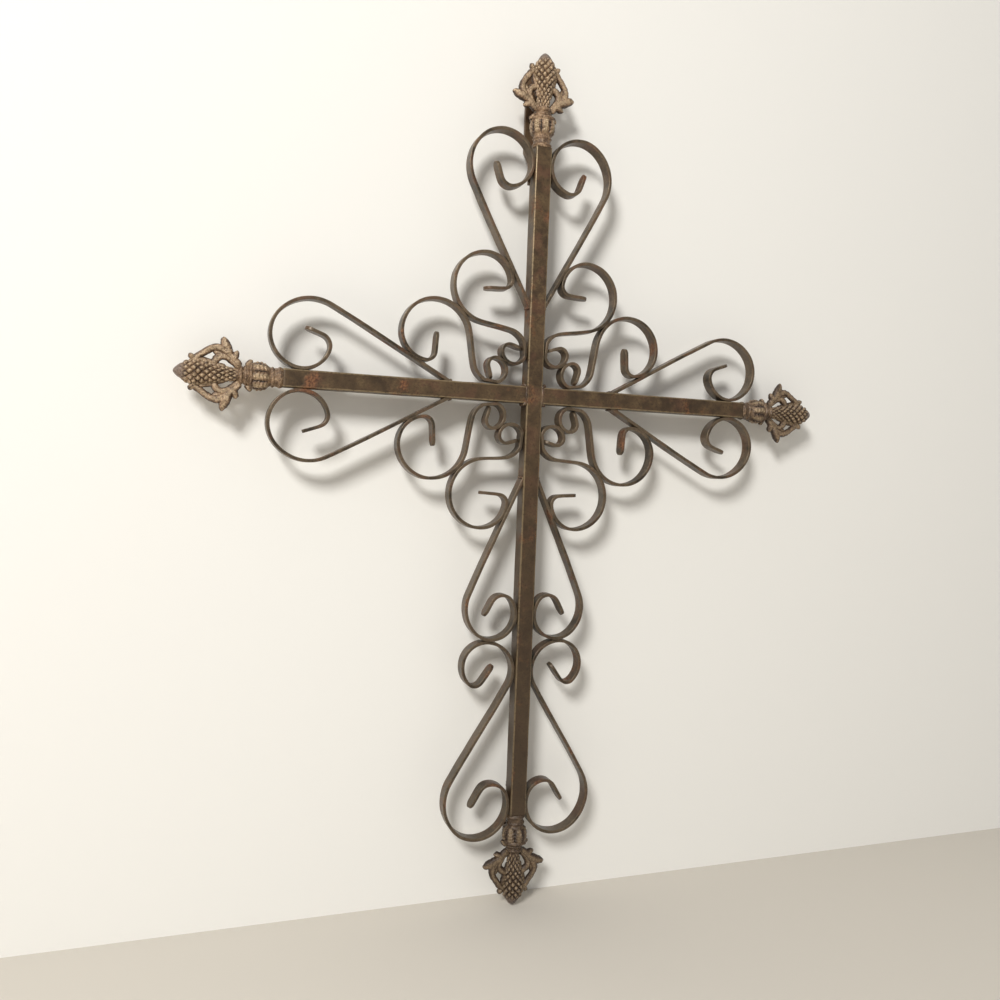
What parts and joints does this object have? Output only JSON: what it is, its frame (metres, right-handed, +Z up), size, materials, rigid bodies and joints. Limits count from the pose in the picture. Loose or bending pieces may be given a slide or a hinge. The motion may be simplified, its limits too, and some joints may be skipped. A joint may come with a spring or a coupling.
{
  "type": "wall-hung wrought iron cross",
  "caption": "Latin cross of square iron bar with flat bar scroll work along its limbs, cast pine cone finials on its ends and a hanging strap behind.",
  "frame": {"origin": "centre of the hanging hole in the strap behind the top finial, on the wall plane", "axes": "+X to the right as the front is seen, +Y into the wall, +Z up along the post"},
  "size_m": [0.515, 0.0316, 0.6505],
  "materials": {
    "square_bar": "worn dark bronze brown paint with rust patches and edges rubbed bright",
    "flat_bar": "worn olive bronze brown paint, satin, with rust and dark soot in the corners",
    "cast_iron": "weathered casting, pale tan rubbed relief over dark brown recesses with pink rust",
    "strap": "plain dark bronze brown paint"
  },
  "bodies": {
    "root": {"post": "square_bar", "arm_bar_left": "square_bar", "arm_bar_right": "square_bar", "finial_top": "cast_iron", "finial_left": "cast_iron", "finial_right": "cast_iron", "finial_bottom": "cast_iron", "heart_top_left": "flat_bar", "heart_top_right": "flat_bar", "heart_left_upper": "flat_bar", "heart_left_lower": "flat_bar", "heart_right_upper": "flat_bar", "heart_right_lower": "flat_bar", "heart_bottom_left": "flat_bar", "heart_bottom_right": "flat_bar", "corner_top_left": "flat_bar", "corner_top_right": "flat_bar", "corner_left_upper": "flat_bar", "corner_left_lower": "flat_bar", "corner_right_upper": "flat_bar", "corner_right_lower": "flat_bar", "corner_bottom_left": "flat_bar", "corner_bottom_right": "flat_bar", "foot_scroll_left": "flat_bar", "foot_scroll_right": "flat_bar", "hanger_strap": "strap", "lower_strap": "strap"}
  },
  "joints": []
}
